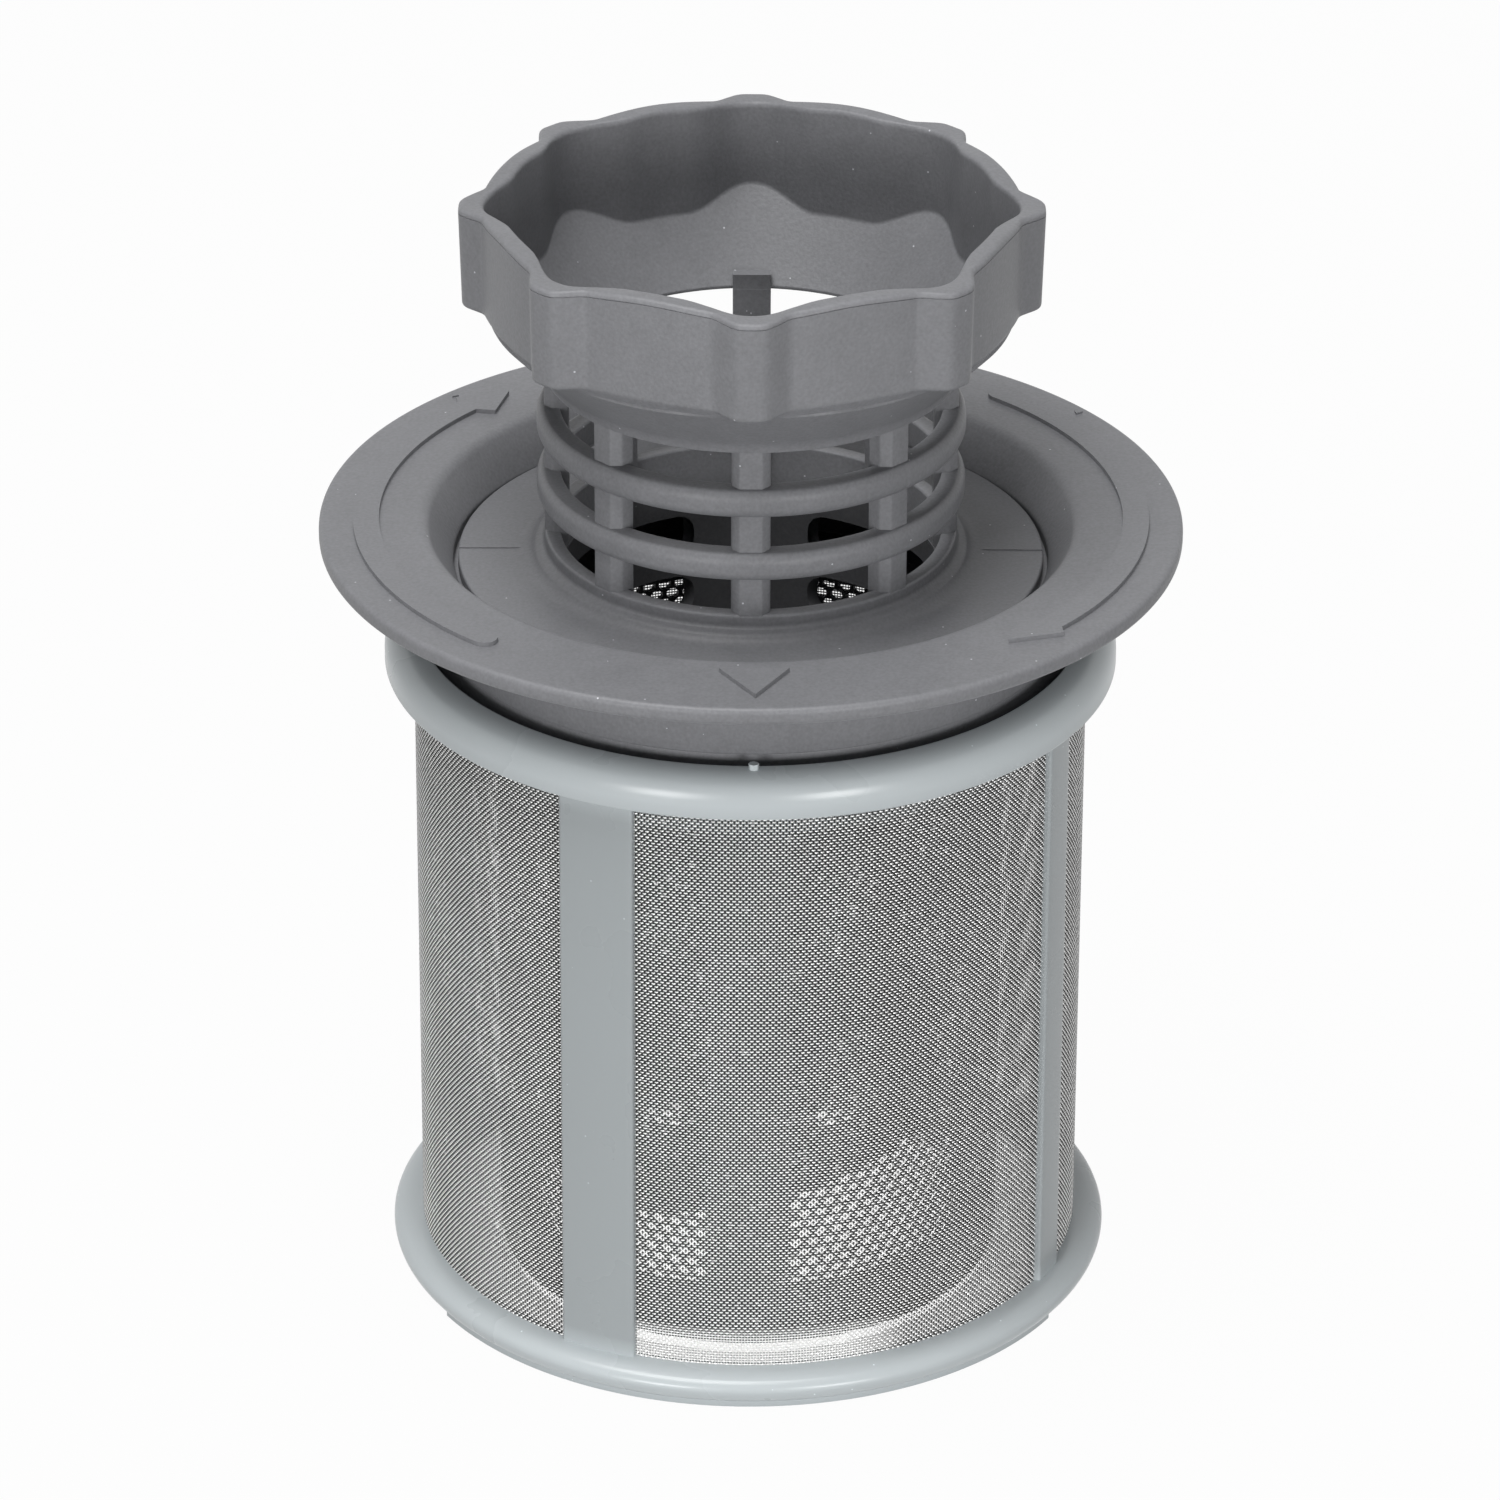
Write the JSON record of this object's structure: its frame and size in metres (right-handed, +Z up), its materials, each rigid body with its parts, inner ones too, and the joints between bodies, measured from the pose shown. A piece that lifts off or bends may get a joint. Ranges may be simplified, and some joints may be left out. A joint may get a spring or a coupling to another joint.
{
  "type": "dishwasher filter",
  "caption": "Round dishwasher filter: lobed grip over a slotted strainer cage, wide flange with raised turn arrows, perforated basket and woven wire sleeve in a pale frame.",
  "frame": {"origin": "on the floor, under the middle of the pale base ring", "axes": "+Z up through the grip; -Y is the front, where the raised triangle is; +X right seen from the front"},
  "size_m": [0.094, 0.094, 0.1268],
  "materials": {
    "pale_plastic": "moulded satin, bluish pale grey",
    "steel_wire": "fine plain-woven stainless wire",
    "dark_plastic": "moulded matte, dark neutral grey with fine speckle"
  },
  "bodies": {
    "fine_filter": {"filter_frame": "pale_plastic", "wire_sleeve": "steel_wire"},
    "coarse_filter": {"flange": "dark_plastic", "perforated_basket": "dark_plastic", "grip_strainer": "dark_plastic", "inner_tube": "dark_plastic"}
  },
  "joints": [
    {"name": "lift_out", "type": "slide", "parent": "fine_filter", "child": "coarse_filter", "axis": [0, 0, 1], "range_m": [0, 0.08]}
  ]
}
